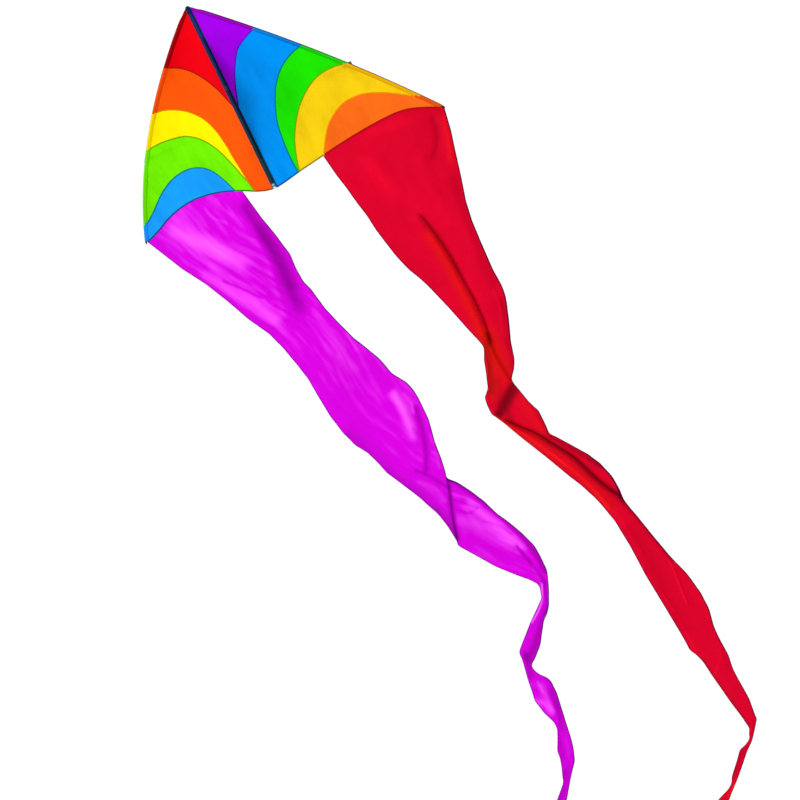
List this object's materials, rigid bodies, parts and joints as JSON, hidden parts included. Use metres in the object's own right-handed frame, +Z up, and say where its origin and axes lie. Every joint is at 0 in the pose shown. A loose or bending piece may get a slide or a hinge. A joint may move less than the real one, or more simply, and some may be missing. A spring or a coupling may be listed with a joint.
{
  "type": "delta kite",
  "caption": "Single-line delta kite: panelled cloth sail on a rod frame with a keel and tow eyelet, and a long streamer tail on each wing.",
  "frame": {"origin": "the nose, on the axis of the spine, where the kite is hung up", "axes": "+Z up along the spine towards the nose, -Y towards the flier (belly side), left wing towards -X"},
  "size_m": [1.1575, 0.3392, 2.951],
  "materials": {
    "cloth_red": "satin",
    "cloth_orange": "satin",
    "cloth_yellow": "satin",
    "cloth_lime": "satin",
    "cloth_sky": "satin",
    "cloth_violet": "satin",
    "cloth_blue": "satin",
    "cloth_green": "satin",
    "cloth_gold": "satin",
    "cloth_amber": "satin",
    "cloth_magenta": "satin",
    "cloth_crimson": "satin",
    "cloth_navy": "satin",
    "webbing_teal": "matte",
    "rod_fibreglass": "satin",
    "vinyl_black": "matte",
    "eyelet_brass": "polished"
  },
  "bodies": {
    "spine": {"spine_rod": "rod_fibreglass", "spine_sleeve": "cloth_navy", "nose_pocket": "cloth_navy", "spine_end_cap": "webbing_teal"},
    "left_wing": {"left_panel_red": "cloth_red", "left_panel_orange": "cloth_orange", "left_panel_yellow": "cloth_yellow", "left_panel_green": "cloth_lime", "left_panel_blue": "cloth_sky", "left_leading_edge_rod": "rod_fibreglass", "left_sleeve_front": "cloth_red", "left_sleeve_rear": "cloth_lime", "left_tip_cap": "vinyl_black"},
    "right_wing": {"right_panel_violet": "cloth_violet", "right_panel_blue": "cloth_blue", "right_panel_green": "cloth_green", "right_panel_yellow": "cloth_gold", "right_panel_orange": "cloth_amber", "right_leading_edge_rod": "rod_fibreglass", "right_sleeve_front": "cloth_violet", "right_sleeve_rear": "cloth_gold", "right_tip_cap": "vinyl_black", "right_spreader_connector": "vinyl_black"},
    "spreader": {"spreader_rod": "rod_fibreglass", "left_spreader_connector": "vinyl_black"},
    "keel_root": {"keel_seam_strip": "cloth_navy"},
    "keel": {"keel_panel": "cloth_navy", "keel_patch_left": "cloth_navy", "keel_patch_right": "cloth_navy", "tow_eyelet": "eyelet_brass"},
    "left_tail": {"left_tail_root": "cloth_magenta", "left_tail": "cloth_magenta"},
    "right_tail": {"right_tail_root": "cloth_crimson", "right_tail": "cloth_crimson"}
  },
  "joints": [
    {"name": "left_wing_fold", "type": "hinge", "parent": "spine", "child": "left_wing", "pos_m": [0, 0, -0.3], "axis": [0, 0, 1], "range_deg": [0, 80]},
    {"name": "right_wing_fold", "type": "hinge", "parent": "spine", "child": "right_wing", "pos_m": [0, 0, -0.3], "axis": [0, 0, -1], "range_deg": [0, 80]},
    {"name": "keel_root_turn", "type": "hinge", "parent": "spine", "child": "keel_root", "pos_m": [0, 0, -0.3], "axis": [0, 0, -1], "range_deg": [0, 20.46]},
    {"name": "keel_swing", "type": "hinge", "parent": "keel_root", "child": "keel", "pos_m": [0.00559, -0.01499, -0.3], "axis": [0, 0, 1], "range_deg": [-10, 10]},
    {"name": "spreader_release", "type": "hinge", "parent": "left_wing", "child": "spreader", "pos_m": [-0.35792, 0.06234, -0.36088], "axis": [0.6079, -0.2798, 0.7431], "range_deg": [0, 100]},
    {"name": "left_tail_swing", "type": "hinge", "parent": "left_wing", "child": "left_tail", "pos_m": [-0.32, 0.1052, -0.585], "axis": [1, 0, 0], "range_deg": [-30, 60], "deforming": ["left_tail_root"]},
    {"name": "right_tail_swing", "type": "hinge", "parent": "right_wing", "child": "right_tail", "pos_m": [0.34, 0.1092, -0.585], "axis": [1, 0, 0], "range_deg": [-30, 60], "deforming": ["right_tail_root"]}
  ],
  "couplings": [
    {"joint": "right_wing_fold", "follows": "left_wing_fold", "ratio": 1},
    {"joint": "keel_root_turn", "follows": "left_wing_fold", "ratio": 0.25562}
  ]
}
